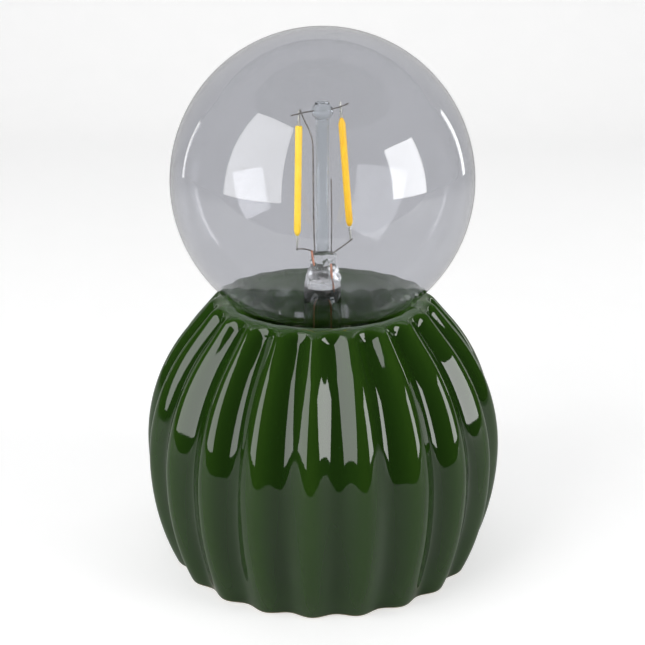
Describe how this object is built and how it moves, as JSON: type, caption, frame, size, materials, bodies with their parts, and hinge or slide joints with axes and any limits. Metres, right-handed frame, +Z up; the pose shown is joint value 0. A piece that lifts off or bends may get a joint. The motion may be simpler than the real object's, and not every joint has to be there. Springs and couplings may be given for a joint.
{
  "type": "table lamp",
  "caption": "Battery table lamp: ribbed glazed ceramic base with a cupped lip, a screw-in globe bulb with filaments, and a battery housing with switch and door underneath.",
  "frame": {"origin": "middle of the foot, on the surface that the lamp stands on", "axes": "+Z up through the bulb, front of the lamp towards -Y, +X to the right seen from the front"},
  "size_m": [0.1158, 0.1161, 0.1734],
  "materials": {
    "green_glaze": "high gloss dark green glaze, unglazed cream line at the foot",
    "silicone": "translucent white sealant",
    "dark_plastic": "fine moulded texture",
    "nickel": "nickel-plated",
    "foam": "closed-cell foam",
    "cell_jacket": "shrink sleeve",
    "circuit_board": "solder mask",
    "black_plastic": "moulded thermoset",
    "red_insulation": "PVC insulation",
    "black_insulation": "PVC insulation",
    "white_ceramic": "unglazed steatite",
    "brass": "bare pressed sheet",
    "black_rubber": "smooth",
    "clear_glass": "clear, very slightly smoky",
    "phosphor": "silicone with yellow phosphor",
    "copper_wire": "copper-coloured sealing wire",
    "cap_metal": "nickel-plated pressed shell",
    "cement": "matte capping cement",
    "black_glass": "glossy black insulator glass"
  },
  "bodies": {
    "root": {"ceramic_body": "green_glaze", "ceramic_cup": "green_glaze", "base_seal": "silicone", "battery_housing": "dark_plastic", "housing_cover": "dark_plastic", "housing_screws": "nickel", "cell_front": "cell_jacket", "cell_middle": "cell_jacket", "cell_rear": "cell_jacket", "contact_springs": "nickel", "contact_plates": "nickel", "timer_board": "circuit_board", "board_parts": "black_plastic", "switch_body": "nickel", "wire_positive": "red_insulation", "wire_negative": "black_insulation", "lampholder_body": "black_plastic", "lampholder_cap": "black_plastic", "lampholder_floor": "white_ceramic", "thread_shell": "brass", "centre_tongue": "brass", "shell_strap": "brass", "terminal_screws": "nickel", "holder_gasket": "black_rubber", "ring_nut": "black_plastic"},
    "battery_door": {"battery_door": "dark_plastic", "door_pad": "foam"},
    "switch_slider": {"switch_slider": "black_plastic"},
    "bulb_tip": {"cap_insulator": "black_glass", "cap_contact": "nickel"},
    "bulb": {"bulb_glass": "clear_glass", "bulb_neck": "clear_glass", "stem_flare": "clear_glass", "stem_pinch": "clear_glass", "stem_rod": "clear_glass", "filament_left": "phosphor", "filament_right": "phosphor", "filament_tabs": "nickel", "support_wires": "nickel", "lead_wires": "nickel", "seal_wires": "copper_wire", "driver_board": "circuit_board", "cap_shell": "cap_metal", "cap_cement": "cement"}
  },
  "joints": [
    {"name": "door_hinge", "type": "hinge", "parent": "root", "child": "battery_door", "pos_m": [0, -0.024, 0.0022], "axis": [-1, 0, 0], "range_deg": [0, 80]},
    {"name": "switch_slide", "type": "slide", "parent": "root", "child": "switch_slider", "axis": [1, 0, 0], "range_m": [-0.002, 0.002]},
    {"name": "bulb_lift", "type": "slide", "parent": "root", "child": "bulb_tip", "axis": [0, 0, 1], "range_m": [0, 0.0182]},
    {"name": "bulb_turn", "type": "hinge", "parent": "bulb_tip", "child": "bulb", "pos_m": [0, 0, 0.05], "axis": [0, 0, 1], "range_deg": [0, 1800]}
  ],
  "couplings": [
    {"joint": "bulb_lift", "follows": "bulb_turn", "m_per_rad": 0.00057757}
  ]
}
